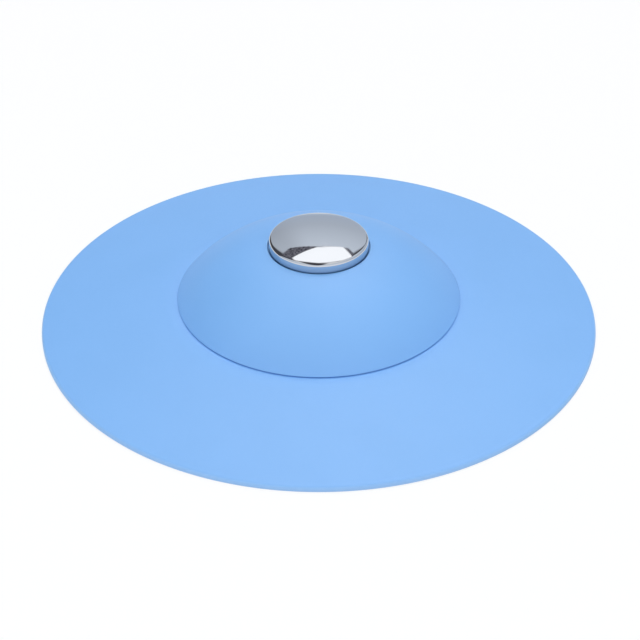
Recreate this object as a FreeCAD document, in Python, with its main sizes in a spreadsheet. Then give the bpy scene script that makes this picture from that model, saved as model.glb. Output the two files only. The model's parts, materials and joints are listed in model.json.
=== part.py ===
"""Drain stopper: a soft flange with a hair strainer, and a dome that slides up on a stem.

Lengths are in millimetres.  Z is the axis of the stopper and points up, and z = 0 is the flat
land under the rim of the flange, on which the stopper lies.  The dome is drawn pressed down,
as it seals the drain.
"""
import FreeCAD, Part
import math
import os
import re
import Sketcher

SIZES = {
    # Soft flange
    "flange_diameter": 150.0,
    "flange_edge": 1.2,            # height of the rim
    "edge_round": 0.4,
    "rim_land": 4.0,               # width of the flat ring that lies on the tub
    "seat_height": 6.7,            # the dome's seat above the tub
    "seat_margin": 2.4,            # how far the seat reaches past the foot of the dome
    "flange_wall": 2.3,            # at the outer edge of the seat
    "flange_bead": 1.8,            # inner bead, clamped between plate and ring
    "bead_width": 8.0,
    "rib_count": 3,                # sealing ribs under the slope between land and seat
    "rib_first_share": 0.2,
    "rib_pitch_share": 0.2,
    "rib_width": 1.4,
    "rib_height": 0.6,
    # Strainer plate
    "plate_inset": 3.9,            # from the foot of the dome in to the edge of the plate
    "plate_thickness": 1.4,
    "plate_gap": 0.3,              # between the plate and the recess of the flange
    "opening_inset": 5.2,          # from the plate's edge in to the opening of the flange
    "slot_width": 2.2,
    "slot_inset": 2.5,             # from the opening in to the outer slots
    "slot_offset": 3.3,            # from the tower's root out to the inner slots
    "slot_ring_gap": 2.0,
    "inner_slot_share": 0.48,      # of the length that both rings of slots share
    "inner_slot_count": 18,
    "outer_slot_count": 30,
    # Guide tower
    "tower_wall": 2.0,
    "tower_root": 1.2,             # sloped shoulder that stands on the plate
    "snap_lip": 0.4,               # lip that catches under the plate
    "snap_length": 1.0,
    "cavity_diameter": 12.0,
    "cavity_flat_depth": 1.0,      # flats that keep the dome from turning
    "skirt_overlap": 0.5,          # how far the tower reaches below the stop washer
    "guide_length": 1.95,          # lower bearing of the stem
    # Pegs, clamp ring and its screws
    "peg_count": 6,
    "peg_inset": 2.5,              # from the plate's edge in to the middle of a peg
    "peg_diameter": 3.6,
    "peg_gap": 0.2,                # round each peg, and under it
    "clamp_thickness": 1.8,
    "clamp_overlap": 1.4,          # past the opening, inwards
    "clamp_inset": 0.8,            # short of the bead's edge, outwards
    "clamp_bevel": 0.5,
    "clamp_head_diameter": 3.6,
    "clamp_head_height": 0.9,
    "clamp_head_sink": 1.0,
    "clamp_screw_diameter": 1.8,
    "clamp_screw_length": 3.4,
    "screw_gap": 0.02,             # round a shank in its thread
    "hole_gap": 0.2,               # round a shank or a head that passes freely
    "cross_width": 0.5,            # cross recess in the clamp screws
    "cross_span": 2.0,
    "cross_depth": 0.5,
    # Guide cap and detent ring
    "cap_height": 2.0,
    "cap_skirt": 1.0,
    "cap_lip": 1.0,                # thickness of the skirt
    "cap_bevel": 0.8,
    "snap_gap": 0.05,
    "gland_play": 0.4,             # outside the ring
    "gland_height": 1.8,
    "ring_section": 1.6,
    # Stem, stop washer and centre screw
    "stem_diameter": 7.0,
    "run_gap": 0.05,               # radial play of the stem in its bearings
    "stop_gap": 0.1,
    "groove_radius": 0.9,
    "groove_depth": 0.35,
    "collar_diameter": 12.0,
    "collar_thickness": 1.0,
    "collar_gap": 0.4,             # between the collar and the guide cap
    "washer_thickness": 0.8,
    "washer_gap": 0.1,
    "tenon_step": 0.7,             # from the stem in to its flatted end
    "tenon_flat_depth": 0.5,
    "floor_gap": 1.5,              # between the tub and the lowest moving piece
    "head_diameter": 6.0,
    "head_height": 1.4,
    "screw_diameter": 2.9,
    "screw_reach": 0.4,            # past the underside of the button base
    "drive_width": 0.8,            # cross recess in the centre screw
    "drive_span": 3.4,
    "drive_depth": 0.8,
    # Dome
    "dome_diameter": 76.4,
    "dome_height": 15.25,          # from the foot's edge to the rim of the button seat
    "dome_radius": 42.0,           # of the arc from the foot's edge to that rim
    "dome_wall": 2.0,
    "seat_gap": 0.1,
    "foot_edge": 0.35,
    "well_gap": 0.3,               # round the button, in its seat
    "well_depth": 0.85,
    "hub_thickness": 1.6,
    "frame_gap": 0.1,
    "frame_wall": 1.4,
    "frame_lift": 0.5,             # foot of the frame above the foot of the dome
    "window_count": 8,
    "window_inset": 2.6,           # from the hub and from the foot ring
    "spoke_width": 3.6,
    # Button
    "button_diameter": 26.9,
    "button_taper": 0.05,          # the wall leans in by this much
    "button_wall": 1.5,
    "button_gap": 0.15,            # between the button's edge and the floor of its seat
    "button_round": 1.1,           # of the shoulder between wall and crown
    "button_rise": 0.25,           # from the roof over the base to the shoulder
    "crown_radius": 45.0,
    "gasket_inset": 1.4,
    "gasket_thickness": 0.8,
    "base_thickness": 1.2,
    "base_gap": 0.05,
    "boss_diameter": 8.0,
    "boss_gap": 0.2,
    "pilot_roof": 0.5,
    # Overrun of every cut past the face it leaves by
    "overrun": 1.0,
}

# Radii and heights that follow from the sizes
PLACES = {
    "rim_r": "flange_diameter / 2",
    "foot_r": "dome_diameter / 2",
    "plate_r": "foot_r - plate_inset",
    "recess_r": "plate_r + plate_gap",
    "seat_r": "foot_r + seat_margin",
    "opening_r": "plate_r - opening_inset",
    "bead_r": "opening_r + bead_width",
    "recess_z": "seat_height - plate_thickness",
    "bead_z": "recess_z - flange_bead",
    "slope_width": "rim_r - rim_land - seat_r",
    "slope_rise": "seat_height - flange_wall",
    "peg_r": "plate_r - peg_inset",
    "clamp_z": "bead_z - clamp_thickness",
    "clamp_in_r": "opening_r - clamp_overlap",
    "clamp_out_r": "bead_r - clamp_inset",
    "clamp_head_z": "clamp_z + clamp_head_sink",
    # Dome: an arc through the foot's edge and the rim of the button seat, its centre off the axis
    "button_r": "button_diameter / 2",
    "well_r": "button_r + well_gap",
    "foot_z": "seat_height + seat_gap",
    "dome_run": "foot_r - well_r",
    "dome_chord": "sqrt(dome_run ^ 2 + dome_height ^ 2)",
    "arc_reach": "sqrt(dome_radius ^ 2 - dome_chord ^ 2 / 4)",
    "arc_r": "(foot_r + well_r) / 2 - arc_reach * dome_height / dome_chord",
    "arc_z": "foot_z + foot_edge + dome_height / 2 - arc_reach * dome_run / dome_chord",
    "inner_radius": "dome_radius - dome_wall",
    "frame_radius": "inner_radius - frame_gap",
    "frame_inner_radius": "frame_radius - frame_wall",
    "well_rim_z": "foot_z + foot_edge + dome_height",
    "well_z": "well_rim_z - well_depth",
    "ceiling_z": "well_z - dome_wall",
    "hub_z": "ceiling_z - hub_thickness",
    "hub_r": "arc_r + sqrt(frame_inner_radius ^ 2 - (hub_z - arc_z) ^ 2)",
    "frame_foot_z": "foot_z + frame_lift",
    "frame_foot_r": "arc_r + sqrt(frame_inner_radius ^ 2 - (frame_foot_z - arc_z) ^ 2)",
    "window_start": "hub_r + window_inset",
    "window_end": "frame_foot_r - window_inset",
    # Stem and tower, from the dome's hub down and from the tub up
    "collar_z": "hub_z - collar_thickness",
    "tower_top_z": "collar_z - collar_gap",
    "cap_z": "tower_top_z - cap_height",
    "cap_skirt_z": "cap_z - cap_skirt",
    "gland_z": "cap_z - gland_height",
    "ring_z": "cap_z - gland_height / 2",
    "stop_z": "gland_z - guide_length",
    "head_z": "floor_gap",
    "washer_z": "head_z + head_height",
    "stem_z": "washer_z + washer_thickness",
    "lift": "stop_z - stop_gap - stem_z",
    "skirt_z": "washer_z - skirt_overlap",
    "stem_r": "stem_diameter / 2",
    "bore_r": "stem_r + run_gap",
    "screw_r": "screw_diameter / 2",
    "stem_hole_r": "screw_r + hole_gap",
    "groove_half": "sqrt(2 * groove_radius * groove_depth - groove_depth ^ 2)",
    "ring_in_r": "stem_r - groove_depth + run_gap",
    "gland_r": "ring_in_r + ring_section + gland_play",
    "cavity_flats": "cavity_diameter - 2 * cavity_flat_depth",
    "tenon_diameter": "stem_diameter - 2 * tenon_step",
    "tenon_flats": "tenon_diameter - 2 * tenon_flat_depth",
    "tower_r": "cavity_diameter / 2 + tower_wall",
    "tower_root_r": "tower_r + tower_root",
    # Slots, in two rings between the tower's root and the opening
    "inner_slot_start": "tower_root_r + slot_offset",
    "outer_slot_end": "opening_r - slot_inset",
    "slot_length": "outer_slot_end - inner_slot_start - slot_ring_gap",
    "inner_slot_end": "inner_slot_start + slot_length * inner_slot_share",
    "outer_slot_start": "inner_slot_end + slot_ring_gap",
    # Button
    "button_z": "well_z + button_gap",
    "base_z": "well_z + gasket_thickness",
    "base_top_z": "base_z + base_thickness",
    "roof_z": "base_top_z + base_gap",
    "wall_top_r": "button_r - button_taper",
    "shoulder_r": "wall_top_r - button_round",
    "shoulder_z": "roof_z + button_rise",
    "crown_share": "crown_radius / (crown_radius - button_round)",
    "crown_reach": "sqrt((crown_radius - button_round) ^ 2 - shoulder_r ^ 2)",
    "crown_r": "shoulder_r * crown_share",
    "crown_z": "shoulder_z + crown_reach * (crown_share - 1)",
    "apex_z": "shoulder_z - crown_reach + crown_radius",
    "button_in_r": "button_r - button_wall",
    "base_r": "button_in_r - base_gap",
    "gasket_r": "base_r - gasket_inset",
    "boss_r": "boss_diameter / 2",
    "boss_hole_r": "boss_r + hole_gap",
    "boss_z": "hub_z + boss_gap",
    "pilot_r": "screw_r + screw_gap",
    "pilot_z": "base_top_z - pilot_roof",
    "screw_tip_z": "base_z + screw_reach",
}

doc = FreeCAD.newDocument("DrainStopper")
sheet = doc.addObject("Spreadsheet::Sheet", "Sizes")
for row, (alias, size) in enumerate(SIZES.items(), start=1):
    sheet.set(f"A{row}", alias)
    sheet.set(f"B{row}", str(size))
    sheet.setAlias(f"B{row}", alias)
doc.recompute()


def bound(text):
    """Write an expression out in cells of the sheet."""
    def cell(match):
        word = match.group(0)
        if word in PLACES:
            return "(" + bound(PLACES[word]) + ")"
        return "Sizes." + word if word in SIZES else word
    return re.sub(r"[a-z_]+", cell, text)


def number(text):
    return float(sheet.evalExpression(bound(text)))


def new_body(label):
    body = doc.addObject("PartDesign::Body", label)
    body.Label = label
    return body


def origin(body, role):
    return next(item for item in body.Origin.OriginFeatures if item.Role == role)


def new_sketch(body, name, role, **offset):
    """Put a sketch on a plane of the body's origin, moved within that plane's own axes."""
    sketch = body.newObject("Sketcher::SketchObject", name)
    sketch.AttachmentSupport = [(origin(body, role), "")]
    sketch.MapMode = "FlatFace"
    for axis, text in offset.items():
        sketch.setExpression(f"AttachmentOffset.Base.{axis}", bound(text))
    doc.recompute()
    return sketch


def constrain(sketch, constraint, text):
    index = sketch.addConstraint(constraint)
    sketch.setExpression(f"Constraints[{index}]", bound(text))


def pin(sketch, edge, vertex, x, y):
    """Tie a vertex to its two coordinates."""
    for kind, axis, text in (("DistanceX", -2, x), ("DistanceY", -1, y)):
        if text == "0":
            sketch.addConstraint(Sketcher.Constraint("PointOnObject", edge, vertex, axis))
        else:
            spot = Sketcher.Constraint(kind, -1, 1, edge, vertex, number(text))
            constrain(sketch, spot, text)


def arc_between(start, stop, radius, turn):
    """Give the arc from start to stop that turns left or right, always drawn anticlockwise."""
    if turn == "right":
        start, stop = stop, start
    chord = stop - start
    reach = math.sqrt(max(radius ** 2 - (chord.Length / 2) ** 2, 0))
    side = FreeCAD.Vector(-chord.y, chord.x, 0).normalize()
    centre = (start + stop) / 2 + side * reach
    angles = [math.atan2(spot.y - centre.y, spot.x - centre.x) for spot in (start, stop)]
    return Part.ArcOfCircle(Part.Circle(centre, FreeCAD.Vector(0, 0, 1), radius), *angles)


def draw(sketch, corners):
    """Close an outline through the corners.

    A corner with a radius and a turn starts an arc, and one with a turn alone a half circle,
    whose ends lie level with each other or one above the other.
    """
    first = sketch.GeometryCount
    spots = [FreeCAD.Vector(number(corner[0]), number(corner[1]), 0) for corner in corners]
    ends = []
    for start, stop, corner in zip(spots, spots[1:] + spots[:1], corners):
        if len(corner) == 2:
            sketch.addGeometry(Part.LineSegment(start, stop), False)
            ends.append((1, 2))
            continue
        turn = corner[-1]
        radius = number(corner[2]) if len(corner) == 4 else (stop - start).Length / 2
        edge = sketch.addGeometry(arc_between(start, stop, radius, turn), False)
        ends.append((1, 2) if turn == "left" else (2, 1))
        if len(corner) == 4:
            constrain(sketch, Sketcher.Constraint("Radius", edge, radius), corner[2])
        else:
            axis = 0 if abs(stop.x - start.x) < abs(stop.y - start.y) else 1
            kind = ("DistanceX", "DistanceY")[axis]
            spot = Sketcher.Constraint(kind, -1, 1, edge, 3, number(corner[axis]))
            constrain(sketch, spot, corner[axis])
    for i, corner in enumerate(corners):
        after = (i + 1) % len(corners)
        sketch.addConstraint(
            Sketcher.Constraint("Coincident", first + i, ends[i][1], first + after, ends[after][0]))
        pin(sketch, first + i, ends[i][0], corner[0], corner[1])


def draw_circle(sketch, x, y, radius):
    centre = FreeCAD.Vector(number(x), number(y), 0)
    circle = Part.Circle(centre, FreeCAD.Vector(0, 0, 1), number(radius))
    edge = sketch.addGeometry(circle, False)
    constrain(sketch, Sketcher.Constraint("Radius", edge, number(radius)), radius)
    pin(sketch, edge, 3, x, y)


def draw_flatted(sketch, diameter, flats):
    """Draw a circle with two flats, which face along X."""
    radius, half = f"({diameter}) / 2", f"({flats}) / 2"
    rise = f"sqrt(({radius}) ^ 2 - ({half}) ^ 2)"
    draw(sketch, [(half, f"-{rise}"), (half, rise, radius, "left"),
                  (f"-{half}", rise), (f"-{half}", f"-{rise}", radius, "left")])


def draw_cross(sketch, x, span, width):
    """Draw a cross recess round a point on the X axis."""
    far, near = f"({span}) / 2", f"({width}) / 2"
    quarter = [(far, f"-{near}"), (far, near), (near, near)]
    corners = []
    for _ in range(4):
        corners += quarter
        quarter = [(b[1:] if b.startswith("-") else f"-{b}", a) for a, b in quarter]
    draw(sketch, [(f"{x} + ({a})" if not a.startswith("-") else f"{x} - ({a[1:]})", b)
                  for a, b in corners])


def add(body, kind, name, sketch, **settings):
    """Add a feature and make sure that it changes the body."""
    before = body.Shape.Volume if body.Tip else 0
    feature = body.newObject("PartDesign::" + kind, name)
    feature.Profile = sketch
    for setting, choice in settings.items():
        if setting == "Length":
            feature.setExpression(setting, bound(choice))
        else:
            setattr(feature, setting, choice)
    doc.recompute()
    change = feature.Shape.Volume - before
    if (change >= 0) if kind == "Pocket" else (change <= 0):
        raise RuntimeError(f"{body.Label}: {name} changes nothing")
    return feature


def revolve(body, name, corners, **offset):
    sketch = new_sketch(body, name + "_outline", "XZ_Plane", **offset)
    draw(sketch, corners)
    return add(body, "Revolution", name, sketch, ReferenceAxis=(sketch, ["V_Axis"]), Angle=360)


def polar(body, name, features, count):
    pattern = body.newObject("PartDesign::PolarPattern", name)
    pattern.Originals = features
    pattern.Axis = (origin(body, "Z_Axis"), [""])
    pattern.Angle = 360
    pattern.setExpression("Occurrences", bound(count))
    body.Tip = pattern
    doc.recompute()
    return pattern


# Sealing flange: flat land, cone up to the dome's seat, recess and bead round the opening
flange = new_body("sealing_flange")
revolve(flange, "flange", [
    ("rim_r - rim_land", "0"),
    ("rim_r", "0"),
    ("rim_r", "flange_edge - edge_round", "edge_round", "left"),
    ("rim_r - edge_round", "flange_edge"),
    ("seat_r", "seat_height"),
    ("recess_r", "seat_height"),
    ("recess_r", "recess_z"),
    ("opening_r", "recess_z"),
    ("opening_r", "bead_z"),
    ("bead_r", "bead_z"),
    ("seat_r", "seat_height - flange_wall"),
])
for i in range(SIZES["rib_count"]):
    # Each rib hangs from the sloped underside, its root sunk a rib's height into it
    share = f"(rib_first_share + {i} * rib_pitch_share)"
    middle, slope_z = f"(rim_r - rim_land - slope_width * {share})", f"(slope_rise * {share})"
    revolve(flange, f"rib_{i}", [
        (f"{middle} - rib_width / 2", f"{slope_z} + rib_height"),
        (f"{middle} - rib_width / 2", slope_z, "left"),
        (f"{middle} + rib_width / 2", slope_z),
        (f"{middle} + rib_width / 2", f"{slope_z} + rib_height"),
    ])
sketch = new_sketch(flange, "peg_hole_outline", "XY_Plane")
draw_circle(sketch, "peg_r", "0", "peg_diameter / 2 + peg_gap")
hole = add(flange, "Pocket", "peg_hole", sketch, Type="ThroughAll", Reversed=True)
polar(flange, "peg_holes", [hole], "peg_count")

# Strainer plate: slotted disc in the recess of the flange, with pegs under its edge
plate = new_body("strainer_plate")
revolve(plate, "plate", [
    ("tower_r + snap_gap", "recess_z"),
    ("plate_r", "recess_z"),
    ("plate_r", "seat_height"),
    ("tower_r + snap_gap", "seat_height"),
])
for ring in ("inner", "outer"):
    sketch = new_sketch(plate, f"{ring}_slot_outline", "XY_Plane")
    near, far = f"{ring}_slot_start + slot_width / 2", f"{ring}_slot_end - slot_width / 2"
    draw(sketch, [
        (near, "-slot_width / 2"),
        (far, "-slot_width / 2", "left"),
        (far, "slot_width / 2"),
        (near, "slot_width / 2", "left"),
    ])
    slot = add(plate, "Pocket", f"{ring}_slot", sketch, Type="ThroughAll", Reversed=True)
    polar(plate, f"{ring}_slots", [slot], f"{ring}_slot_count")
sketch = new_sketch(plate, "peg_outline", "XY_Plane", z="bead_z + peg_gap")
draw_circle(sketch, "peg_r", "0", "peg_diameter / 2")
peg = add(plate, "Pad", "peg", sketch, Length="flange_bead - peg_gap + plate_thickness / 2")
sketch = new_sketch(plate, "thread_outline", "XY_Plane", z="bead_z + peg_gap - overrun")
draw_circle(sketch, "peg_r", "0", "clamp_screw_diameter / 2 + screw_gap")
thread = add(plate, "Pocket", "thread", sketch, Reversed=True,
             Length="overrun + clamp_screw_length - clamp_thickness + clamp_head_sink")
polar(plate, "pegs", [peg, thread], "peg_count")

# Clamp ring: flat ring under the bead, counterbored for its screws
clamp = new_body("clamp_ring")
revolve(clamp, "ring", [
    ("clamp_in_r + clamp_bevel", "clamp_z"),
    ("clamp_out_r - clamp_bevel", "clamp_z"),
    ("clamp_out_r", "clamp_z + clamp_bevel"),
    ("clamp_out_r", "bead_z"),
    ("clamp_in_r", "bead_z"),
    ("clamp_in_r", "clamp_z + clamp_bevel"),
])
sketch = new_sketch(clamp, "screw_hole_outline", "XY_Plane")
draw_circle(sketch, "peg_r", "0", "clamp_screw_diameter / 2 + hole_gap")
hole = add(clamp, "Pocket", "screw_hole", sketch, Type="ThroughAll", Reversed=True)
sketch = new_sketch(clamp, "head_sink_outline", "XY_Plane", z="clamp_head_z")
draw_circle(sketch, "peg_r", "0", "clamp_head_diameter / 2 + hole_gap")
sink = add(clamp, "Pocket", "head_sink", sketch, Length="clamp_head_sink + overrun")
polar(clamp, "screw_holes", [hole, sink], "peg_count")

# Clamp screws: a ring of cross-recessed screws, driven up into the pegs
screws = new_body("clamp_screws")
screw = revolve(screws, "screw", [
    ("0", "clamp_head_z - clamp_head_height"),
    ("clamp_head_diameter / 2", "clamp_head_z - clamp_head_height"),
    ("clamp_head_diameter / 2", "clamp_head_z"),
    ("clamp_screw_diameter / 2", "clamp_head_z"),
    ("clamp_screw_diameter / 2", "clamp_head_z + clamp_screw_length - clamp_screw_diameter / 2"),
    ("0", "clamp_head_z + clamp_screw_length - screw_gap"),
], x="peg_r")
sketch = new_sketch(screws, "cross_outline", "XY_Plane",
                    z="clamp_head_z - clamp_head_height + cross_depth")
draw_cross(sketch, "peg_r", "cross_span", "cross_width")
cross = add(screws, "Pocket", "cross", sketch, Length="cross_depth + overrun")
polar(screws, "screw_circle", [screw, cross], "peg_count")

# Guide tower: snapped down through the plate; bearing, gland and stop of the stem are inside
tower = new_body("guide_tower")
revolve(tower, "tower", [
    ("bore_r", "skirt_z"),
    ("tower_r", "skirt_z"),
    ("tower_r", "recess_z - snap_length"),
    ("tower_r + snap_lip", "recess_z - snap_lip"),
    ("tower_r + snap_lip", "recess_z"),
    ("tower_r", "recess_z"),
    ("tower_r", "seat_height"),
    ("tower_root_r", "seat_height"),
    ("tower_r", "seat_height + tower_root"),
    ("tower_r", "cap_skirt_z"),
    ("tower_r - cap_lip", "cap_skirt_z"),
    ("tower_r - cap_lip", "cap_z"),
    ("gland_r", "cap_z"),
    ("gland_r", "gland_z"),
    ("bore_r", "gland_z"),
])
sketch = new_sketch(tower, "cavity_outline", "XY_Plane")
draw_flatted(sketch, "cavity_diameter", "cavity_flats")
add(tower, "Pocket", "cavity", sketch, Length="stop_z", Reversed=True)

# Guide cap: snapped over the tower, it closes the gland and guides the stem
cap = new_body("guide_cap")
revolve(cap, "cap", [
    ("bore_r", "cap_z"),
    ("tower_r - cap_lip + snap_gap", "cap_z"),
    ("tower_r - cap_lip + snap_gap", "cap_skirt_z + snap_gap"),
    ("tower_r", "cap_skirt_z + snap_gap"),
    ("tower_r", "tower_top_z - cap_bevel"),
    ("tower_r - cap_bevel", "tower_top_z"),
    ("bore_r", "tower_top_z"),
])

# Detent ring: O-ring in the gland, resting in the upper groove of the stem
ring = doc.addObject("Part::Torus", "detent_ring")
ring.Label = "detent_ring"
ring.setExpression("Radius1", bound("ring_in_r + ring_section / 2"))
ring.setExpression("Radius2", bound("ring_section / 2"))
ring.setExpression("Placement.Base.z", bound("ring_z"))

# Dome shell: a round cap of even wall, with a flat foot and a sunk seat for the button
dome = new_body("dome_shell")
revolve(dome, "dome", [
    ("foot_r - foot_edge", "foot_z"),
    ("foot_r", "foot_z + foot_edge", "dome_radius", "left"),
    ("well_r", "well_rim_z"),
    ("well_r", "well_z"),
    ("boss_hole_r", "well_z"),
    ("boss_hole_r", "ceiling_z"),
    ("arc_r + sqrt(inner_radius ^ 2 - (ceiling_z - arc_z) ^ 2)", "ceiling_z", "inner_radius", "right"),
    ("arc_r + sqrt(inner_radius ^ 2 - (foot_z - arc_z) ^ 2)", "foot_z"),
])

# Dome frame: hub and spokes that stiffen the dome from inside
frame = new_body("dome_frame")
revolve(frame, "frame", [
    ("boss_hole_r", "hub_z"),
    ("hub_r", "hub_z", "frame_inner_radius", "right"),
    ("frame_foot_r", "frame_foot_z"),
    ("arc_r + sqrt(frame_radius ^ 2 - (frame_foot_z - arc_z) ^ 2)", "frame_foot_z",
     "frame_radius", "left"),
    ("arc_r + sqrt(frame_radius ^ 2 - (ceiling_z - arc_z) ^ 2)", "ceiling_z"),
    ("boss_hole_r", "ceiling_z"),
])


def beside_spoke(radius, side):
    """Give the corner of a window at a radius, half a spoke from the middle of the next one."""
    along = f"sqrt({radius} ^ 2 - (spoke_width / 2) ^ 2)"
    turn = "(180 / window_count)"
    return (f"{along} * cos({turn}) + spoke_width / 2 * sin({turn})",
            f"{side}({along} * sin({turn}) - spoke_width / 2 * cos({turn}))")


sketch = new_sketch(frame, "window_outline", "XY_Plane")
draw(sketch, [
    beside_spoke("window_start", "-"),
    (*beside_spoke("window_end", "-"), "window_end", "left"),
    beside_spoke("window_end", ""),
    (*beside_spoke("window_start", ""), "window_start", "right"),
])
window = add(frame, "Pocket", "window", sketch, Type="ThroughAll", Reversed=True)
polar(frame, "windows", [window], "window_count")

# Button shell: plated cap with a low crown
button = new_body("button_shell")
revolve(button, "button", [
    ("button_in_r", "button_z"),
    ("button_r", "button_z"),
    ("wall_top_r", "shoulder_z", "button_round", "left"),
    ("crown_r", "crown_z", "crown_radius", "left"),
    ("0", "apex_z"),
    ("0", "roof_z"),
    ("button_in_r", "roof_z"),
])

# Button base: disc inside the cap, with the boss that takes the centre screw
base = new_body("button_base")
revolve(base, "base", [
    ("pilot_r", "boss_z"),
    ("boss_r", "boss_z"),
    ("boss_r", "base_z"),
    ("base_r", "base_z"),
    ("base_r", "base_top_z"),
    ("0", "base_top_z"),
    ("0", "pilot_z"),
    ("pilot_r", "pilot_z"),
])

# Button gasket: flat ring between the button and the dome
gasket = new_body("button_gasket")
revolve(gasket, "gasket", [
    ("boss_hole_r", "well_z"),
    ("gasket_r", "well_z"),
    ("gasket_r", "base_z"),
    ("boss_hole_r", "base_z"),
])

# Stem: a groove for the lowered and one for the raised dome, a collar under the hub
stem = new_body("stem")
revolve(stem, "shaft", [
    ("stem_hole_r", "stem_z"),
    ("stem_r", "stem_z"),
    ("stem_r", "ring_z - lift - groove_half", "groove_radius", "right"),
    ("stem_r", "ring_z - lift + groove_half"),
    ("stem_r", "ring_z - groove_half", "groove_radius", "right"),
    ("stem_r", "ring_z + groove_half"),
    ("stem_r", "collar_z"),
    ("collar_diameter / 2", "collar_z"),
    ("collar_diameter / 2", "hub_z"),
    ("stem_hole_r", "hub_z"),
])
sketch = new_sketch(stem, "tenon_outline", "XY_Plane", z="washer_z")
draw_flatted(sketch, "tenon_diameter", "tenon_flats")
draw_circle(sketch, "0", "0", "stem_hole_r")
add(stem, "Pad", "tenon", sketch, Length="washer_thickness")

# Stop washer: flats inside for the stem, flats outside for the tower
washer = new_body("stop_washer")
sketch = new_sketch(washer, "washer_outline", "XY_Plane", z="washer_z")
draw_flatted(sketch, "cavity_diameter - 2 * washer_gap", "cavity_flats - 2 * washer_gap")
draw_flatted(sketch, "tenon_diameter + 2 * snap_gap", "tenon_flats + 2 * snap_gap")
add(washer, "Pad", "washer", sketch, Length="washer_thickness")

# Centre screw: up through the stem into the button's boss
bolt = new_body("centre_screw")
revolve(bolt, "bolt", [
    ("0", "head_z"),
    ("head_diameter / 2", "head_z"),
    ("head_diameter / 2", "washer_z"),
    ("screw_r", "washer_z"),
    ("screw_r", "screw_tip_z - screw_r"),
    ("0", "screw_tip_z"),
])
sketch = new_sketch(bolt, "drive_outline", "XY_Plane", z="head_z + drive_depth")
draw_cross(sketch, "0", "drive_span", "drive_width")
add(bolt, "Pocket", "drive", sketch, Length="drive_depth + overrun")

doc.recompute()
for item in doc.Objects:
    if "Invalid" in item.State or "Error" in item.State:
        raise RuntimeError(f"{item.Label} did not build")

pieces = (flange, plate, clamp, screws, tower, cap, ring, dome, frame, button, base, gasket,
          stem, washer, bolt)
os.makedirs("parts", exist_ok=True)
for piece in pieces:
    shape = piece.Shape
    if shape.isNull() or not shape.isValid():
        raise RuntimeError(f"{piece.Label} has no valid shape")
    shape.exportStep(f"parts/{piece.Label}.step")
    print(f"{piece.Label}: {len(shape.Solids)} solid(s), {shape.Volume:.0f} mm3")
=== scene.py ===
# %% [markdown]
# # Dressing a drain stopper
#
# The stopper is a wide soft saucer with a soft dome in its middle and a plated button on top.
# Its solids come from a CAD frame that stays where it is.  This lesson puts a finer skin over the
# pieces that the eye rests on, and gives every other piece a finish of its own.

# %% Load the frame
import json
import math
import bmesh
import bpy
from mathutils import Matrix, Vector


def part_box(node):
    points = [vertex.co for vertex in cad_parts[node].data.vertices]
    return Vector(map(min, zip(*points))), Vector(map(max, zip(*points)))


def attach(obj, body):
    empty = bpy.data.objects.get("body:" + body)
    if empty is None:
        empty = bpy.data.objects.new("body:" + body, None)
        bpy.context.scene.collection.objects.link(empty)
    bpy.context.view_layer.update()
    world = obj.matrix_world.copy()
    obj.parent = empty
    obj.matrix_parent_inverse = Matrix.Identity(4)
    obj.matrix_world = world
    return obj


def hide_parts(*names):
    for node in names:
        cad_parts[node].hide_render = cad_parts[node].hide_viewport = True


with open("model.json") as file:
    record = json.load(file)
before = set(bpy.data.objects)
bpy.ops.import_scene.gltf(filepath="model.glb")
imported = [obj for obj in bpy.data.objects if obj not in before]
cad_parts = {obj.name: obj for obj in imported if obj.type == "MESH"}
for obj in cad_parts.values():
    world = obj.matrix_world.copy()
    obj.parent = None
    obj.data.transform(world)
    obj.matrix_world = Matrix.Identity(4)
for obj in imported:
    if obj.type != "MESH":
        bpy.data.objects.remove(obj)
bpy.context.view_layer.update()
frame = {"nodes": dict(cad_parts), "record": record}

MM = 0.001

# %% [markdown]
# ## Sizes
#
# A skin has to lie where its solid lies.  Most places are therefore read from the boxes of the
# solids, and only what a box can't tell, such as a wall or a rounding, is written down as a size.

# %% Read the places from the frame
flange_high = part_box("sealing_flange")[1]
dome_low, dome_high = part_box("dome_shell")
button_low, button_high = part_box("button_shell")

rim_r, seat_z = flange_high.x, flange_high.z
foot_r, foot_z, well_rim_z = dome_high.x, dome_low.z, dome_high.z
button_r, button_z, apex_z = button_high.x, button_low.z, button_high.z
print(f"rim {rim_r / MM:.1f}, dome foot {foot_r / MM:.1f}, button {button_r / MM:.1f} mm in radius")

# %% [markdown]
# ## A wire that does sums
#
# Shader graphs get long when every sum is a node placed by hand.  One small class wraps an output
# socket, so that `1 - mask` or `mask * 0.2` adds the Math node by itself.  Its `node` method makes
# any other node: first the settings, then the sockets.

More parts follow.
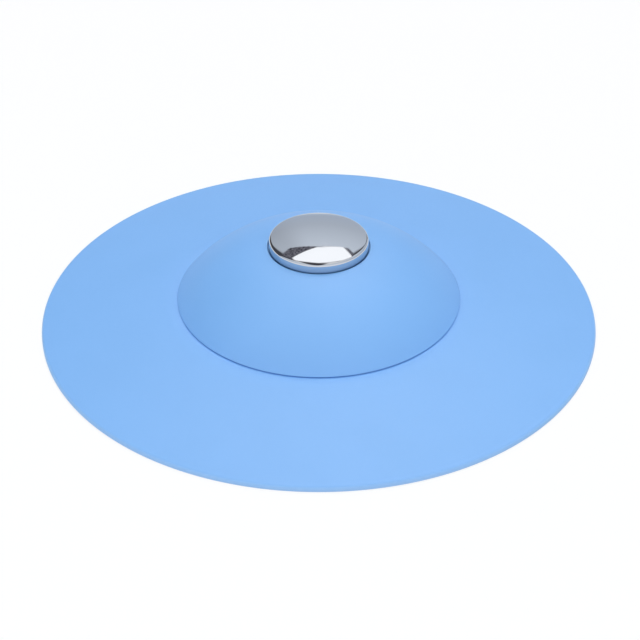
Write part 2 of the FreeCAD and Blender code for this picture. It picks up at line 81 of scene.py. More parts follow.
# %% Wrap a socket
class Wire:
    """An output socket of a node tree; arithmetic on it adds Math nodes."""

    def __init__(self, tree, socket=None):
        self.tree, self.socket = tree, socket

    def node(self, kind, settings=None, sockets=None):
        """Add a node with its settings and its sockets, by name or place; give its first output.

        The setting "stops" fills a colour ramp with places and colours.
        """
        made = self.tree.nodes.new(kind)
        for name, choice in (settings or {}).items():
            if name == "stops":
                ramp = made.color_ramp.elements
                while len(ramp) < len(choice):
                    ramp.new(1.0)
                for stop, (place, colour) in zip(ramp, choice):
                    stop.position, stop.color = place, (*colour, 1.0)
            else:
                setattr(made, name, choice)
        usable = [socket for socket in made.inputs if socket.enabled]
        for key, given in (sockets or {}).items():
            target = usable[key] if isinstance(key, int) else next(
                socket for socket in usable if socket.name == key)
            if isinstance(given, Wire):
                self.tree.links.new(given.socket, target)
            elif target.type == "RGBA" and len(given) == 3:
                target.default_value = (*given, 1.0)
            else:
                target.default_value = given
        outputs = [socket for socket in made.outputs if socket.enabled]
        return Wire(self.tree, outputs[0]) if outputs else made

    def out(self, name):
        """Give another output of the node that this wire comes from."""
        return Wire(self.tree, next(
            socket for socket in self.socket.node.outputs if socket.name == name and socket.enabled))

    def math(self, operation, *operands):
        """Add a Math node with these operands."""
        return self.node("ShaderNodeMath", {"operation": operation}, dict(enumerate(operands)))

    def __add__(self, other):
        return self.math("ADD", self, other)

    def __sub__(self, other):
        return self.math("SUBTRACT", self, other)

    def __rsub__(self, other):
        return self.math("SUBTRACT", other, self)

    def __mul__(self, other):
        return self.math("MULTIPLY", self, other)

    def __truediv__(self, other):
        return self.math("DIVIDE", self, other)

    def __rtruediv__(self, other):
        return self.math("DIVIDE", other, self)

    __radd__, __rmul__ = __add__, __mul__

    def ramp(self, low, high, start=0.0, stop=1.0):
        """Ease from start at low to stop at high, and stay level outside."""
        return self.node("ShaderNodeMapRange", {"interpolation_type": "SMOOTHSTEP"},
                         {"Value": self, "From Min": low, "From Max": high,
                          "To Min": start, "To Max": stop})

    def blend(self, first, second):
        """Mix two colours by this wire."""
        return self.node("ShaderNodeMix", {"data_type": "RGBA"},
                         {"Factor": self, "A": first, "B": second})


# %% [markdown]
# ## Finishes
#
# Every finish starts the same way: a Principled shader and the coordinates of the piece.  All the
# pieces share one origin on the axis of the stopper, so the distance from that axis tells a finish
# whether it is at the rim, on the slope or under the button.  Small irregularities come from
# noises, which seldom leave the range from 0.3 to 0.7, so that range is spread over what they vary.

# %% Start a finish
finishes = {}
noise_range, noise_middle = (0.3, 0.7), (0.35, 0.65)


class Finish:
    """A material with its shader and the coordinates of the piece."""

    def __init__(self, name, **constants):
        self.name = name
        self.material = bpy.data.materials.new(name)
        self.material.use_nodes = True
        tree = self.material.node_tree
        self.shader = tree.nodes["Principled BSDF"]
        for socket, number in constants.items():
            self.shader.inputs[socket.replace("_", " ")].default_value = number
        self.root = Wire(tree)
        self.place = self.root.node("ShaderNodeTexCoord").out("Object")

    def radius(self):
        """Give the distance from the axis."""
        flat = self.root.node("ShaderNodeVectorMath", {"operation": "MULTIPLY"},
                              {0: self.place, 1: (1.0, 1.0, 0.0)})
        return self.root.node("ShaderNodeVectorMath", {"operation": "LENGTH"}, {0: flat}).out("Value")

    def height(self):
        """Give the height above the underside of the rim."""
        return self.root.node("ShaderNodeSeparateXYZ", None, {0: self.place}).out("Z")

    def noise(self, size, detail=2.0, stretch=(1.0, 1.0, 1.0)):
        """Give a noise whose spots are about this large."""
        vector = self.root.node("ShaderNodeMapping", None, {"Vector": self.place, "Scale": stretch})
        return self.root.node("ShaderNodeTexNoise", None,
                              {"Vector": vector, "Scale": 1 / size, "Detail": detail})

    def bump(self, height, depth, strength=0.5):
        """Raise the surface by a wire; depth is the rise of its full range."""
        normal = self.root.node("ShaderNodeBump", None,
                                {"Height": height, "Distance": depth, "Strength": strength})
        self.feed(Normal=normal)

    def feed(self, **wires):
        """Link wires to sockets of the shader, by name."""
        for socket, wire in wires.items():
            self.root.tree.links.new(wire.socket, self.shader.inputs[socket.replace("_", " ")])

    def keep(self):
        """List the finish under its name."""
        finishes[self.name] = self.material
        print("finish:", self.name)


# %% [markdown]
# ### Soft blue rubber
#
# The flange and the dome are moulded in a soft rubber with a fine matt skin.  A mirror-smooth
# blue would look like glazed china, so the finish carries a grain of about a third of a
# millimetre and a slow drift between two blues.  The outermost rim, in patches, and the lip and
# groove round the button are painted paler: painted light, standing in for the light that the thin
# rubber lets through and that falls into the groove.  Scattering inside the rubber would give some
# of that, but it is slow, and two masks by distance from the axis are enough.

# %% Mix the blue rubber
moulded_blue, drifted_blue = (0.176, 0.424, 0.812), (0.180, 0.430, 0.822)
# Painted light: the paler blues of the lip and of the rim.
lip_light_blue, rim_light_blue = (0.25, 0.53, 0.93), (0.26, 0.50, 0.86)
lip_inside, lip_outside, lip_light_share = button_r + 0.2 * MM, button_r + 0.8 * MM, 0.8
rim_inside, rim_outside = rim_r - 0.7 * MM, rim_r - 0.1 * MM
drift_size = 18.0 * MM
rim_light_patch_size, rim_light_share = 1.5 * MM, (0.8, 1.0)
skin_grain, skin_depth, skin_roughness = 0.35 * MM, 0.02 * MM, (0.50, 0.60)

rubber = Finish("blue_rubber", IOR=1.54, Specular_IOR_Level=1.0)
from_axis = rubber.radius()
drift = rubber.noise(drift_size).ramp(*noise_middle)
blue = drift.blend(moulded_blue, drifted_blue)
# Painted light: the lip and the groove round the button are painted paler.
painted_lip_light = 1 - from_axis.ramp(lip_inside, lip_outside)
blue = (painted_lip_light * lip_light_share).blend(blue, lip_light_blue)
# Painted light: the outermost rim is painted paler in patches.
rim_light_band = from_axis.ramp(rim_inside, rim_outside)
painted_rim_light = rim_light_band * rubber.noise(rim_light_patch_size).ramp(*noise_range, *rim_light_share)
rubber.feed(Base_Color=painted_rim_light.blend(blue, rim_light_blue))
grain = rubber.noise(skin_grain, detail=3.0)
rubber.feed(Roughness=grain.ramp(*noise_range, *skin_roughness))
rubber.bump(grain, skin_depth)
rubber.keep()

# %% [markdown]
# ### Chrome
#
# The button is a thin plated cap.  Its plating is almost a mirror and sends back two thirds of the
# light.  One roughness all over would look too clean: a finger wipes the cap, and the marks show as
# faint streaks that are a little rougher, so a stretched noise drives the roughness.  The wall
# mirrors the shaded rubber round its foot, so its plate is painted darker and bluer towards the
# foot, as painted shade.

# %% Plate the chrome
plain_plate, shaded_plate = (0.665, 0.675, 0.69), (0.50, 0.52, 0.57)
shade_full_z, shade_none_z = button_z + 0.8 * MM, apex_z - 2.5 * MM
streak_size, streak_stretch, streak_range = 3.0 * MM, (1.0, 0.12, 1.0), (0.45, 0.75)
polish, wipe_haze = 0.035, 0.045

plating = Finish("chrome", Metallic=1.0)
# Painted shade: the wall is painted darker and bluer towards its foot.
painted_wall_shade = 1 - plating.height().ramp(shade_full_z, shade_none_z)
plating.feed(Base_Color=painted_wall_shade.blend(plain_plate, shaded_plate))
wiped = plating.noise(streak_size, detail=4.0, stretch=streak_stretch).ramp(*streak_range)
plating.feed(Roughness=polish + wiped * wipe_haze)
plating.keep()

# %% [markdown]
# ### White plastic
#
# The strainer, the tower, the clamp ring and the frames inside dome and button are white mouldings.
# Their tool is spark-eroded, which leaves a fine matt, and the plastic sets in faint clouds.  A
# picture of such a surface would repeat itself.  A noise doesn't, and one noise drives both the
# roughness and the bump, so that the raised spots are also the dull ones.

# %% Mould the white plastic
grey_white, clear_white = (0.80, 0.84, 0.88), (0.84, 0.875, 0.91)
cloud_size = 6.0 * MM
spark_size, spark_depth, spark_roughness = 0.22 * MM, 0.012 * MM, (0.40, 0.52)

moulding = Finish("white_plastic", IOR=1.49)
cloud = moulding.noise(cloud_size).ramp(*noise_middle)
moulding.feed(Base_Color=cloud.blend(grey_white, clear_white))
spark = moulding.noise(spark_size)
moulding.feed(Roughness=spark.ramp(*noise_range, *spark_roughness))
moulding.bump(spark, spark_depth)
moulding.keep()

# %% [markdown]
# ### Acetal
#
# The stem, its washer and the guide cap are turned from acetal, a smoother plastic.  The tool moves
# on a little with every turn and leaves rings.  A Wave texture could draw them, but a sine of height
# and radius together puts them on walls and on flat ends alike.

# %% Turn the acetal
dull_acetal, clear_acetal = (0.84, 0.84, 0.81), (0.89, 0.89, 0.865)
haze_size, haze_roughness = 2.0 * MM, (0.24, 0.34)
feed_per_turn, ring_depth = 0.18 * MM, 0.002 * MM

rod = Finish("acetal", IOR=1.48)
turns = (rod.height() + rod.radius()) * (2 * math.pi / feed_per_turn)
haze = rod.noise(haze_size).ramp(*noise_range)
rod.feed(Base_Color=haze.blend(dull_acetal, clear_acetal))
rod.feed(Roughness=haze.ramp(0.0, 1.0, *haze_roughness))
rod.bump(turns.math("SINE", turns), ring_depth, strength=0.4)
rod.keep()

# %% [markdown]
# ### Steel and black rubber
#
# The screws are plain stainless steel with fine lines across them, and a noise stretched along one
# axis is the short way to such lines.  The two seals are black rubber with a bloom of dull grey,
# which is a noise again, this time in patches.

# %% Draw the steel
dark_steel, light_steel = (0.56, 0.57, 0.59), (0.68, 0.69, 0.71)
line_size, line_stretch, line_roughness = 0.6 * MM, (1.0, 8.0, 8.0), (0.24, 0.38)

drawn = Finish("steel", Metallic=1.0)
lines = drawn.noise(line_size, detail=3.0, stretch=line_stretch)
drawn.feed(Base_Color=lines.ramp(*noise_range).blend(dark_steel, light_steel))
drawn.feed(Roughness=lines.ramp(*noise_range, *line_roughness))
drawn.keep()

# %% Press the seals
fresh_black, bloomed_black = (0.022, 0.022, 0.025), (0.05, 0.05, 0.053)
bloom_size, bloom_range, bloom_roughness = 1.2 * MM, (0.4, 0.75), (0.5, 0.68)
seal_grain, seal_depth = 0.25 * MM, 0.01 * MM

seal = Finish("seal_rubber", IOR=1.5)
bloom = seal.noise(bloom_size, detail=4.0)
seal.feed(Base_Color=bloom.ramp(*bloom_range).blend(fresh_black, bloomed_black))
seal.feed(Roughness=bloom.ramp(*noise_range, *bloom_roughness))
seal.bump(seal.noise(seal_grain), seal_depth)
seal.keep()

# %% [markdown]
# ## A lathe
#
# Flange, dome and button are round, so one tool makes their skins: it takes an outline of radius
# and height, rounds its corners, and turns it about the axis.  A Screw modifier could turn it too, but
# a mesh made directly has clean poles and closed ends without any merging.

# %% Round the corners of an outline
def swept(centre, first, last, radius, steps):
    """Give points on a circle about a centre, the short way from first to last."""
    return [centre + (first - centre).slerp(last - centre, k / steps) * radius
            for k in range(steps + 1)]


def rounded(corners, steps=6):
    """Give the points of a closed outline; a corner is (radius, height) with an optional fillet."""
    points = []
    for i, (r, z, *fillet) in enumerate(corners):
        corner = Vector((r, z))
        if not fillet:
            points.append(corner)
            continue
        before = (Vector(corners[i - 1][:2]) - corner).normalized()
        after = (Vector(corners[(i + 1) % len(corners)][:2]) - corner).normalized()
        half = before.angle(after) / 2
        reach = fillet[0] / math.tan(half)
        centre = corner + (before + after).normalized() * (fillet[0] / math.sin(half))
        points += swept(centre, corner + before * reach, corner + after * reach, fillet[0], steps)
    return points


def arc_centre(first, last, radius):
    """Give the centre of the arc from first to last that bulges away from the axis."""
    chord = Vector(last) - Vector(first)
    inward = Vector((-chord.y, chord.x)).normalized()
    return Vector(first) + chord / 2 + inward * math.sqrt(radius ** 2 - (chord.length / 2) ** 2)


# %% Make rings, meshes and objects
axis_width = 1e-9


def ring_of(shape, r, z, around):
    """Add a ring of points to a shape, or one point where it is on the axis."""
    count = 1 if r < axis_width else around
    return [shape.verts.new((r * math.cos(2 * math.pi * k / around),
                             r * math.sin(2 * math.pi * k / around), z)) for k in range(count)]


def mesh_of(shape, name, crease):
    """Make a mesh of a shape, its faces outwards, and sharp where it bends by more than crease."""
    bmesh.ops.recalc_face_normals(shape, faces=shape.faces)
    mesh = bpy.data.meshes.new(name)
    shape.to_mesh(mesh)
    shape.free()
    mesh.shade_smooth()
    mesh.set_sharp_from_angle(angle=math.radians(crease))
    return mesh


def put(name, data):
    """Make an object of this data and put it in the scene."""
    thing = bpy.data.objects.new(name, data)
    bpy.context.scene.collection.objects.link(thing)
    return thing


# %% Turn an outline about the axis
def turned(name, outline, finish, around=256):
    """Turn a closed outline of radius and height, given anticlockwise, into a closed piece."""
    shape = bmesh.new()
    rings = [ring_of(shape, r, z, around) for r, z in outline]
    for lower, upper in zip(rings, rings[1:] + rings[:1]):
        for k in range(around):
            after = (k + 1) % around
            corners = [lower[k % len(lower)], lower[after % len(lower)],
                       upper[after % len(upper)], upper[k % len(upper)]]
            corners = list(dict.fromkeys(corners))
            if len(corners) > 2:
                shape.faces.new(corners)
    mesh = mesh_of(shape, name, crease=40)
    mesh.materials.append(finishes[finish])
    print(f"{name}: {len(mesh.polygons)} faces")
    return put(name, mesh)


# %% [markdown]
# ## The flange
#
# The flange is the saucer that lies over the drain.  Seen from above it runs without a crease
# from its thin rim to the foot of the dome, so the corner where slope and seat meet gets a wide
# rounding, and the rim a small one.  A Bevel modifier would need a weight on every edge, so each
# corner of the outline names its own rounding instead.  Inside, a recess takes the strainer plate,
# and the bead below it is held by the clamp ring.

# %% Turn the flange
plate_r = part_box("strainer_plate")[1].x
rim_land, rim_edge = 4.0 * MM, 1.2 * MM
rim_low_round, rim_top_round = 0.15 * MM, 0.9 * MM
flange_wall = 2.3 * MM
seat_r = foot_r + 2.4 * MM
seat_round = 12.0 * MM
recess_r = plate_r + 0.3 * MM
recess_z = seat_z - 1.4 * MM
opening_r = plate_r - 5.2 * MM
bead_r = opening_r + 8.0 * MM
bead_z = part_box("clamp_ring")[1].z
bead_in_round, bead_out_round = 0.3 * MM, 0.5 * MM

flange = turned("flange_skin", rounded([
    (rim_r - rim_land, 0.0),
    (rim_r, 0.0, rim_low_round),
    (rim_r, rim_edge, rim_top_round),
    (seat_r, seat_z, seat_round),
    (recess_r, seat_z),
    (recess_r, recess_z),
    (opening_r, recess_z),
    (opening_r, bead_z, bead_in_round),
    (bead_r, bead_z, bead_out_round),
    (seat_r, seat_z - flange_wall),
]), "blue_rubber")
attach(flange, "base")
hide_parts("sealing_flange")

# %% [markdown]
# ## The dome
#
# The dome is a round cap with a sunk seat for the button: steep at its foot, almost flat at the
# button.  A flattened ball would stand upright at its foot, so the outline is an arc about a centre
# beside the axis, and it ends in a soft lip round the seat.  The foot stands a hair above the
# flange, and that gap is the thin dark line that parts the two in the photograph.

# %% Lay out the dome
dome_radius, dome_wall = 42.0 * MM, 2.0 * MM
foot_edge = 0.28 * MM
well_r, well_z = button_r + 0.2 * MM, well_rim_z - 0.85 * MM
lip_round = 0.3 * MM
ceiling_z = well_z - dome_wall
boss_hole_r = 4.2 * MM

foot_corner = Vector((foot_r, foot_z + foot_edge))
dome_centre = arc_centre(foot_corner, (well_r, well_rim_z), dome_radius)
lip_r = well_r + lip_round
lip_reach = math.sqrt((dome_radius - lip_round) ** 2 - (lip_r - dome_centre.x) ** 2)
lip_centre = Vector((lip_r, dome_centre.y + lip_reach))
lip_start = dome_centre + (lip_centre - dome_centre).normalized() * dome_radius
lip_end = lip_centre - Vector((lip_round, 0.0))
print(f"dome: arc about a point {dome_centre.x / MM:.1f} mm beside the axis")

# %% Turn the dome
inner_radius = dome_radius - dome_wall
dome_steps, lip_steps, inner_steps = 48, 6, 32


def inner_corner(height):
    """Give the point of the dome's inner face at a height."""
    reach = math.sqrt(inner_radius ** 2 - (height - dome_centre.y) ** 2)
    return Vector((dome_centre.x + reach, height))


inner_foot, inner_top = inner_corner(foot_z), inner_corner(ceiling_z)
inner_centre = arc_centre(inner_foot, inner_top, inner_radius)
dome = turned("dome_skin", [
    (foot_r - foot_edge, foot_z),
    *swept(dome_centre, foot_corner, lip_start, dome_radius, dome_steps),
    *swept(lip_centre, lip_start, lip_end, lip_round, lip_steps)[1:],
    (well_r, well_z),
    (boss_hole_r, well_z),
    (boss_hole_r, ceiling_z),
    *reversed(swept(inner_centre, inner_foot, inner_top, inner_radius, inner_steps)),
], "blue_rubber")
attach(dome, "dome")
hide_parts("dome_shell")

# %% [markdown]
# ## The button
#
# The button is the only shiny thing on the stopper, and a mirror shows every flat in its mesh.
# Its crown is therefore one long arc of many steps.  A round shoulder runs from the crown into the
# wall without a crease, so the whole room passes over it in a few thin lines.  The wall leans in a
# little, as a moulded cap's does to leave its tool.

# %% Lay out the button
crown_radius = 45.0 * MM
shoulder_round = 0.85 * MM
wall_lean = 0.2 * MM

apex = Vector((0.0, apex_z))
crown_centre = apex - Vector((0.0, crown_radius))
shoulder_r = button_r - wall_lean - shoulder_round
shoulder_reach = math.sqrt((crown_radius - shoulder_round) ** 2 - shoulder_r ** 2)
shoulder = crown_centre + Vector((shoulder_r, shoulder_reach))
wall_out = Vector((shoulder.y - button_z, wall_lean)).normalized()
wall_top = shoulder + wall_out * shoulder_round
crown_edge = crown_centre + (shoulder - crown_centre).normalized() * crown_radius
print(f"button: crown {2 * crown_edge.x / MM:.1f} mm across, wall {(wall_top.y - button_z) / MM:.1f} mm")

# %% Turn the button
foot_chamfer = 0.15 * MM
inside_r = button_r - 1.5 * MM
roof_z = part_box("button_base")[1].z + 0.05 * MM
shoulder_steps, crown_steps = 16, 40

button = turned("button_cap", [
    (inside_r, button_z),
    (button_r - foot_chamfer, button_z),
    (button_r, button_z + foot_chamfer),
    *swept(shoulder, wall_top, crown_edge, shoulder_round, shoulder_steps),
    *swept(crown_centre, crown_edge, apex, crown_radius, crown_steps)[1:],
    (0.0, roof_z),
    (inside_r, roof_z),
], "chrome")
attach(button, "dome")
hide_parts("button_shell")

# %% [markdown]
# ## Growing by a rule
#
# What repeats is better grown than modelled again and again.  A Geometry Nodes tree holds the rule,
# and its named inputs are the sizes of the rule.  The tree is run once on an empty seed, and what
# it grows is kept as a plain mesh, so that it can be measured and exported like any other piece.

# %% Start and close a Geometry Nodes tree
def new_tree(name, sizes):
    """Make a tree with these named inputs; give it and the wires of its inputs."""
    tree = bpy.data.node_groups.new(name, "GeometryNodeTree")
    tree.interface.new_socket("Geometry", in_out="OUTPUT", socket_type="NodeSocketGeometry")
    for label, size in sizes.items():
        kind = {int: "NodeSocketInt", float: "NodeSocketFloat"}.get(type(size), "NodeSocketObject")
        tree.interface.new_socket(label, in_out="INPUT", socket_type=kind)
    start = Wire(tree).node("NodeGroupInput")
    return tree, {label: start.out(label) for label in sizes}


def grown(name, tree, result, sizes, finish):
    """Close a tree with its finish, run it with these sizes, and give its result as a plain piece."""
    real = result.node("GeometryNodeRealizeInstances", None, {"Geometry": result})
    coated = real.node("GeometryNodeSetMaterial", None,
                       {"Geometry": real, "Material": finishes[finish]})
    coated.node("NodeGroupOutput", None, {"Geometry": coated})
    seed = put(name + "_seed", bpy.data.meshes.new(name + "_seed"))
    modifier = seed.modifiers.new("grow", "NODES")
    modifier.node_group = tree
    for item in tree.interface.items_tree:
        if item.in_out == "INPUT":
            modifier[item.identifier] = sizes[item.name]
    ready = seed.evaluated_get(bpy.context.evaluated_depsgraph_get())
    mesh = bpy.data.meshes.new_from_object(ready)
    mesh.name = name
    bpy.data.objects.remove(seed)
    print(f"{name}: {len(mesh.polygons)} faces from the tree {tree.name}")
    return put(name, mesh)


# %% [markdown]
# ## The sealing ribs
#
# Three ribs under the slope meet the floor of the tub when the soft flange is pressed down, and
# hold the water back.  They are the same ring again and again, each one smaller and higher.  An
# Array modifier would shrink their section as well, so the tree repeats one step: it draws a circle,
# raises it, gives it a round section and joins it to the rings before.

# %% Set the sizes of the ribs
slope_width = rim_r - rim_land - seat_r
slope_rise = seat_z - flange_wall
first_share, pitch_share = 0.2, 0.2
rib_sizes = {
    "Count": 3,
    "First Radius": rim_r - rim_land - slope_width * first_share,
    "First Height": slope_rise * first_share,
    "Step In": slope_width * pitch_share,
    "Step Up": slope_rise * pitch_share,
    "Rib Radius": 0.7 * MM,
    "Ring Points": 224,
    "Section Points": 16,
}
print(f"ribs: {rib_sizes['Count']}, {rib_sizes['Step In'] / MM:.1f} mm apart")

# %% Grow the sealing ribs
rib_tree, size = new_tree("sealing_rib_rings", rib_sizes)
root = Wire(rib_tree)
repeat_end = root.node("GeometryNodeRepeatOutput").socket.node
repeat_start = root.node("GeometryNodeRepeatInput", None, {"Iterations": size["Count"]}).socket.node
repeat_start.pair_with_output(repeat_end)
step = Wire(rib_tree, repeat_start.outputs["Iteration"])
circle = root.node("GeometryNodeCurvePrimitiveCircle", None,
                   {"Resolution": size["Ring Points"],
                    "Radius": size["First Radius"] - step * size["Step In"]})
height = root.node("ShaderNodeCombineXYZ", None, {"Z": size["First Height"] + step * size["Step Up"]})
raised = root.node("GeometryNodeTransform", None, {"Geometry": circle, "Translation": height})
section = root.node("GeometryNodeCurvePrimitiveCircle", None,
                    {"Resolution": size["Section Points"], "Radius": size["Rib Radius"]})
rib = root.node("GeometryNodeCurveToMesh", None, {"Curve": raised, "Profile Curve": section})
joined = root.node("GeometryNodeJoinGeometry", None, {"Geometry": rib})
rib_tree.links.new(repeat_start.outputs["Geometry"], joined.socket.node.inputs["Geometry"])
rib_tree.links.new(joined.socket, repeat_end.inputs["Geometry"])
all_rings = Wire(rib_tree, repeat_end.outputs["Geometry"])
ribs = grown("sealing_ribs", rib_tree, all_rings, rib_sizes, "blue_rubber")
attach(ribs, "base")

# %% [markdown]
# ## The clamp screws
#
# Six small screws hold the clamp ring.  Six copies set by hand would do, but then a change to one
# has to be made six times.  So one screw is modelled with its cross recess, and a tree sets it on a
# circle.  No two screws stop at the same turn, so each gets a random one, with a fixed seed that
# makes every run alike.

# %% Lay out one clamp screw
screws_low, screws_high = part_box("clamp_screws")
head_r, head_height = 1.8 * MM, 0.9 * MM
head_chamfer, head_edge = 0.25 * MM, 0.3 * MM
shank_r, tip_r = 0.9 * MM, 0.2 * MM
screw_length = screws_high.z - screws_low.z
cross_span, cross_width, cross_depth = 2.0 * MM, 0.5 * MM, 0.5 * MM
screw_outline = [
    (head_r - head_chamfer, 0.0), (head_r, head_edge), (head_r, head_height),
    (shank_r, head_height), (shank_r, screw_length - shank_r), (tip_r, screw_length)]


def cross_outline():
    """Give the twelve corners of the cross recess, anticlockwise."""
    far, near = cross_span / 2, cross_width / 2
    corners = []
    for c, s in ((1, 0), (0, 1), (-1, 0), (0, -1)):
        corners += [(x * c - y * s, x * s + y * c)
                    for x, y in ((far, -near), (far, near), (near, near))]
    return corners


print(f"clamp screw: {screw_length / MM:.1f} mm long, cross of {len(cross_outline())} corners")


# %% Model one clamp screw
def walled(shape, lower, upper):
    """Join two rings of as many points by a wall."""
    for k in range(len(lower)):
        after = (k + 1) % len(lower)
        shape.faces.new((lower[k], lower[after], upper[after], upper[k]))


def one_screw(around=36):
    """Make a screw that points up, the face of its head at zero height."""
    shape = bmesh.new()
    rings = [ring_of(shape, r, z, around) for r, z in screw_outline]
    for lower, upper in zip(rings, rings[1:]):
        walled(shape, lower, upper)
    shape.faces.new(rings[-1])
    mouth = [shape.verts.new((x, y, 0.0)) for x, y in cross_outline()]
    bottom = [shape.verts.new((x, y, cross_depth)) for x, y in cross_outline()]
    walled(shape, mouth, bottom)
    shape.faces.new(bottom)
    edges = [shape.edges.get((ring[k - 1], ring[k])) for ring in (rings[0], mouth)
             for k in range(len(ring))]
    bmesh.ops.triangle_fill(shape, use_beauty=True, edges=edges)
    return mesh_of(shape, "clamp_screw_pattern", crease=35)


pattern = put("clamp_screw_pattern", one_screw())
print("clamp screw:", len(pattern.data.polygons), "faces")

# %% Set the screws on their circle
screw_sizes = {"Count": 6, "Circle Radius": screws_high.x - head_r, "Height": screws_low.z,
               "Seed": 7, "Screw": pattern}
screw_tree, size = new_tree("clamp_screw_circle", screw_sizes)
root = Wire(screw_tree)
spots = root.node("GeometryNodeMeshCircle", None,
                  {"Vertices": size["Count"], "Radius": size["Circle Radius"]})
height = root.node("ShaderNodeCombineXYZ", None, {"Z": size["Height"]})
lifted = root.node("GeometryNodeTransform", None, {"Geometry": spots, "Translation": height})
screw = root.node("GeometryNodeObjectInfo", None, {"Object": size["Screw"]}).out("Geometry")
turn = root.node("FunctionNodeRandomValue", {"data_type": "FLOAT"},
                 {"Max": math.pi / 2, "Seed": size["Seed"]})
spin = root.node("ShaderNodeCombineXYZ", None, {"Z": turn})
screw_ring = root.node("GeometryNodeInstanceOnPoints", None,
                       {"Points": lifted, "Instance": screw, "Rotation": spin})
screws = grown("clamp_screw_set", screw_tree, screw_ring, screw_sizes, "steel")
bpy.data.objects.remove(pattern)
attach(screws, "base")
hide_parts("clamp_screws")

# %% [markdown]
# ## The pieces that keep their solids
#
# The strainer, the tower, the frame under the dome and the sliding pieces are rigid, and their
# solids already have the right shape.  They only change their finish, which the record names.

# %% Give the other pieces their finish
slot_of = {part["node"]: part["material_slot"] for part in frame["record"]["subparts"]}
for node, solid in frame["nodes"].items():
    solid.data.materials.clear()
    solid.data.materials.append(finishes[slot_of[node]])
kept = sorted(node for node, solid in frame["nodes"].items() if not solid.hide_render)
print("finished as they are:", ", ".join(kept))

# %% [markdown]
# ## The studio
#
# The stopper lies on a pale floor in an even light.  A shadow catcher would need a transparent
# film, so the floor is white light to the camera and in reflections, with a share of plain paint on
# which the shadow of the stopper falls.  It has no underside, so that the camera can look up
# through it, and the lower half of the room stands for the light that it sends back.

# %% Mix the floor paint
shadow_share = 0.2
floor_white, floor_paint = (1.0, 1.0, 1.0), (0.9, 0.9, 0.9)

pale_floor = bpy.data.materials.new("pale_floor")
pale_floor.use_nodes = True
pale_floor.node_tree.nodes.clear()
root = Wire(pale_floor.node_tree)
light_path = root.node("ShaderNodeLightPath")
seen = light_path.out("Is Camera Ray") + light_path.out("Is Glossy Ray")
seen = seen + light_path.out("Is Transmission Ray")
white = root.node("ShaderNodeEmission", None, {"Color": floor_white})
paint = root.node("ShaderNodeBsdfDiffuse", None, {"Color": floor_paint})
top = root.node("ShaderNodeMixShader", None, {0: seen * (1 - shadow_share), 1: paint, 2: white})
below = root.node("ShaderNodeNewGeometry").out("Backfacing")
clear = root.node("ShaderNodeBsdfTransparent")
both = root.node("ShaderNodeMixShader", None, {0: below, 1: top, 2: clear})
root.node("ShaderNodeOutputMaterial", None, {"Surface": both})
print("floor paint: a share of", shadow_share, "takes shadows")

# %% Lay the floor
floor_half, floor_drop = 3.0, 0.05 * MM

floor_mesh = bpy.data.meshes.new("floor")
floor_mesh.from_pydata([(x * floor_half, y * floor_half, -floor_drop)
                        for x, y in ((-1, -1), (1, -1), (1, 1), (-1, 1))], [], [(0, 1, 2, 3)])
floor_mesh.materials.append(pale_floor)
floor = put("floor", floor_mesh)
floor.visible_diffuse = False
floor.visible_shadow = False
print("floor:", 2 * floor_half, "m wide")

# %% [markdown]
# ### The room in the button
#
# A plated button is as good as the room that it mirrors.  In the photograph it shows a bluish grey
# wall, a bright window that leans to one side, and dark edges.  A real window would need a real
# wall, so the room is painted on the sky.  A direction is followed up to a ceiling at unit height,
# and the place where it meets the ceiling, so far to the right and so far ahead, says what it sees.
# The sides of the room go by the bearing alone.

# %% Find the way through the room
least_rise = 0.05

world = bpy.data.worlds.new("room")
world.use_nodes = True
bpy.context.scene.world = world
world.node_tree.nodes.clear()
root = Wire(world.node_tree)
way = root.node("ShaderNodeSeparateXYZ", None, {0: root.node("ShaderNodeTexCoord").out("Generated")})
across, back, up = way.out("X"), way.out("Y"), way.out("Z")
climb = up.math("MAXIMUM", up, least_rise)
right, ahead = across / climb, back / climb
side = across / back.math("MAXIMUM", back, least_rise)
light_path = root.node("ShaderNodeLightPath")
mirrored, watched = light_path.out("Is Glossy Ray"), light_path.out("Is Camera Ray")


def strip(place, low, high, soft=0.012):
    """Give one between two places and zero outside, with soft edges."""
    return place.ramp(low - soft, low + soft) * (1 - place.ramp(high - soft, high + soft))


print("room: painted on the world", world.name)

# %% [markdown]
# #### Walls
#
# The wall is a bluish grey that is darkest a little above the floor and gets lighter towards the
# ceiling.  Behind the camera the room is bright, which lights the front of the stopper; mirrored,
# that side is toned down, so that the shoulder of the button doesn't clip to white.

# %% Paint the walls
wall_stops = [
    (0.0, (0.50, 0.58, 0.69)), (0.08, (0.39, 0.45, 0.55)), (0.35, (0.44, 0.49, 0.57)),
    (0.72, (0.58, 0.64, 0.73)), (0.85, (0.60, 0.62, 0.66)), (1.0, (0.80, 0.80, 0.82))]
floor_light = (0.78, 0.78, 0.79)
front_light, front_mirrored = (1.15, 1.15, 1.15), (0.72, 0.76, 0.84)
horizon, front_edge = (-0.02, 0.02), (-1.7, -1.4)

wall = root.node("ShaderNodeValToRGB", {"stops": wall_stops}, {0: up})
above = up.ramp(*horizon)
front = above * (1 - ahead.ramp(*front_edge))
front_glow = mirrored.blend(front_light, front_mirrored)
walls = front.blend(above.blend(floor_light, wall), front_glow)
print("walls:", len(wall_stops), "tones from the floor to the ceiling")

# %% [markdown]
# #### Dark sides
#
# Thin dark lines run along the shoulder of the button: one on each side and one under the window.
# They come from dark curtains at the sides of the room and from a dark oval overhead.  Only
# mirrored light meets them, so they take no light from the rubber.

# %% Hang the dark sides
curtain_grey = (0.06, 0.06, 0.07)
left_edge, left_fade, left_haze = (-0.54, -0.45), (-0.36, -0.08), 0.2
right_near, right_far, right_soft = 0.47, 0.64, 0.025
curtain_top, curtain_front = (0.84, 0.95), (0.0, 0.1)
oval_right, oval_ahead = -0.09, -0.35
oval_width, oval_length, oval_edge = 0.30, 1.15, (0.40, 1.0)

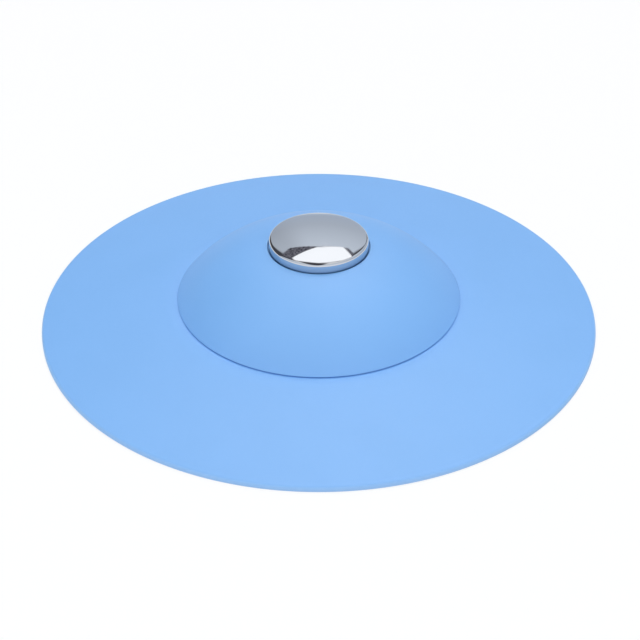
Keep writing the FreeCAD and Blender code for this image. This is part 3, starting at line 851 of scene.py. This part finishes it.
left_curtain = (1 - side.ramp(*left_edge)) + (1 - side.ramp(*left_fade)) * left_haze
right_curtain = strip(side, right_near, right_far, soft=right_soft)
curtains = (left_curtain + right_curtain) * (1 - up.ramp(*curtain_top))
curtains = curtains * back.ramp(*curtain_front)
off_right, off_ahead = (right - oval_right) / oval_width, (ahead - oval_ahead) / oval_length
oval = 1 - (off_right * off_right + off_ahead * off_ahead).ramp(*oval_edge)
shade = curtains.math("MAXIMUM", curtains, oval) * mirrored
room = shade.blend(walls, curtain_grey)
print("dark sides: two curtains and an oval overhead")

# %% [markdown]
# #### The window
#
# The window is a pane with leaning sides and a bowed far edge in a mottled dark surround.  It is a
# strong light to the rubber.  Mirrored, it is a plainer pane, just bright enough to look white on a
# plate that sends back two thirds, and for the same reason the whole mirrored room is a fifth
# brighter.  The camera itself sees only a pale sky behind the floor.

# %% Cut the window
right_lean, near_edge, beyond = 0.45, 0.45, 2.0
jamb_left, jamb_soft = -0.28, 0.02

aside = right.math("ABSOLUTE", right)


def leaning_pane(left_lean, left, right_edge, bow, far_edge):
    """Give one inside a pane with two leaning sides and a bowed far edge."""
    sides = strip(right - ahead * left_lean, left, beyond)
    sides = sides * strip(right + ahead * right_lean, -beyond, right_edge)
    return sides * strip(ahead - aside * bow, near_edge, far_edge)


surround = leaning_pane(left_lean=0.67, left=-0.955, right_edge=0.755, bow=0.22, far_edge=0.865)
window = leaning_pane(left_lean=1.246, left=-1.079, right_edge=0.69, bow=0.3, far_edge=0.848)
window = window * strip(right, jamb_left, beyond, soft=jamb_soft)
print("window and surround:", len(world.node_tree.nodes), "nodes so far")

# %% Light the window and close the room
window_light, window_mirrored = (8.0, 8.1, 8.2), (1.12, 1.14, 1.18)
mottle_dark, mottle_light = (0.035, 0.035, 0.045), (0.20, 0.20, 0.24)
mottle_scale, mottle_range = 40.0, (0.4, 0.6)
pale_sky = (0.97, 0.98, 0.99)
mirror_lift = 0.2

spot = root.node("ShaderNodeCombineXYZ", None, {"X": right, "Y": ahead})
mottle = root.node("ShaderNodeTexNoise", None, {"Vector": spot, "Scale": mottle_scale, "Detail": 1.0})
dark = mottle.ramp(*mottle_range).blend(mottle_dark, mottle_light)
painted = window.blend(surround.blend(room, dark), mirrored.blend(window_light, window_mirrored))
painted = watched.blend(painted, pale_sky)
sky = root.node("ShaderNodeBackground", None, {"Color": painted, "Strength": 1 + mirrored * mirror_lift})
root.node("ShaderNodeOutputWorld", None, {"Surface": sky})
print("room:", len(world.node_tree.nodes), "nodes")

# %% [markdown]
# ### The softbox
#
# A wide softbox hangs over the stopper, a little in front, and gives the even light of a studio.
# A small lamp would throw hard shadows, and the photograph shows none.  The softbox is left out of
# reflections, because the button already mirrors the painted room.

# %% Hang the softbox
lamp_way, lamp_distance = Vector((-0.05, -0.34, 1.0)), 1.0
lamp_width, lamp_length, lamp_radiance = 1.2, 0.9, 0.94

lamp = bpy.data.lights.new("overhead_softbox", "AREA")
lamp.shape, lamp.size, lamp.size_y = "RECTANGLE", lamp_width, lamp_length
lamp.energy = lamp_radiance * math.pi * lamp_width * lamp_length
softbox = put("overhead_softbox", lamp)
softbox.location = lamp_way.normalized() * lamp_distance
softbox.rotation_euler = lamp_way.to_track_quat("Z", "Y").to_euler()
softbox.visible_glossy = False
print(f"softbox: {lamp.energy:.2f} W")

# %% [markdown]
# ## The camera
#
# The photograph looks down on the stopper from the front, by a little over a third of a right
# angle.  The camera stands half a metre away with a long lens and looks at the origin.  Turning it
# to frame the stopper would tilt the view, so a small shift of the lens puts the stopper where it
# lies in the picture.

# %% Set up the camera
camera_distance = 0.5
camera_elevation = math.radians(34.48)
lens_length = 103.0
shift_right, shift_up = 0.0019, -0.0079

camera = put("camera", bpy.data.cameras.new("camera"))
camera.data.lens = lens_length
camera.data.shift_x, camera.data.shift_y = shift_right, shift_up
toward = Vector((0.0, -math.cos(camera_elevation), math.sin(camera_elevation)))
camera.location = toward * camera_distance
camera.rotation_euler = (-toward).to_track_quat("-Z", "Y").to_euler()
bpy.context.scene.camera = camera
bpy.context.scene.view_settings.view_transform = "Standard"
print("camera at", tuple(round(number, 4) for number in camera.location))
